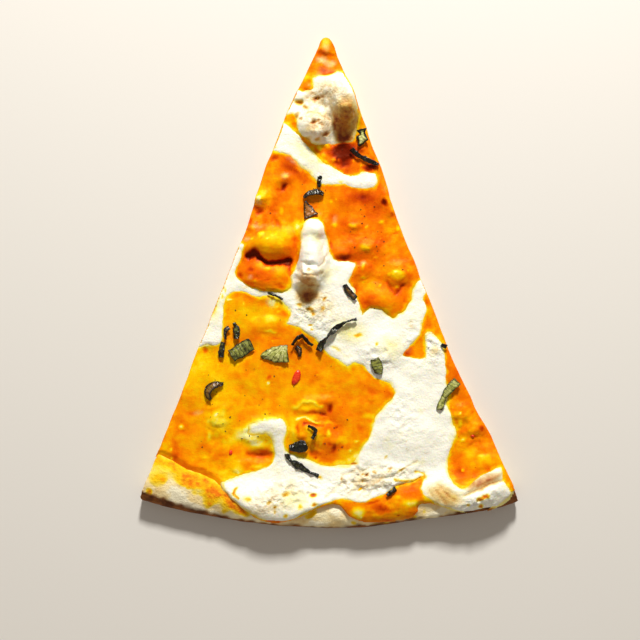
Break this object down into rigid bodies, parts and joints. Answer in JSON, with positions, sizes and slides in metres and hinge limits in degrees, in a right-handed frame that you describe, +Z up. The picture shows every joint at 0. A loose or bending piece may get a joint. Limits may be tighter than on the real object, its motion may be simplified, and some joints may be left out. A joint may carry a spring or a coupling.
{
  "type": "pizza slice",
  "caption": "Triangular slice of vodka sauce pizza with a low rounded rim, an orange sauce layer, patches of melted mozzarella and scattered shreds of basil.",
  "frame": {"origin": "on the table, under the middle of the slice's bounding box", "axes": "+Z up, +Y along the slice's middle line from the rim towards the tip, +X to the right seen from above with the tip pointing away"},
  "size_m": [0.177, 0.2289, 0.0204],
  "materials": {
    "crust": null,
    "sauce": null,
    "mozzarella": null,
    "basil": null
  },
  "bodies": {
    "root": {"basil_arch": "basil", "basil_arch_inner": "basil", "basil_centre": "basil", "basil_chip": "basil", "basil_curl_top": "basil", "basil_fan": "basil", "basil_left_bridge": "basil", "basil_left_curl": "basil", "basil_left_fleck": "basil", "basil_left_square": "basil", "basil_ribbon": "basil", "basil_ribbon_tail": "basil", "basil_right_edge": "basil", "basil_right_long": "basil", "basil_right_square": "basil", "basil_rim": "basil", "basil_rosette": "basil", "basil_rosette_bit": "basil", "basil_rosette_tail": "basil", "basil_shred_top": "basil", "basil_sliver": "basil", "basil_sunk_left": "basil", "basil_twist": "basil", "crust": "crust", "mozzarella_band": "mozzarella", "mozzarella_pool": "mozzarella", "mozzarella_tip": "mozzarella", "sauce": "sauce"}
  },
  "joints": []
}
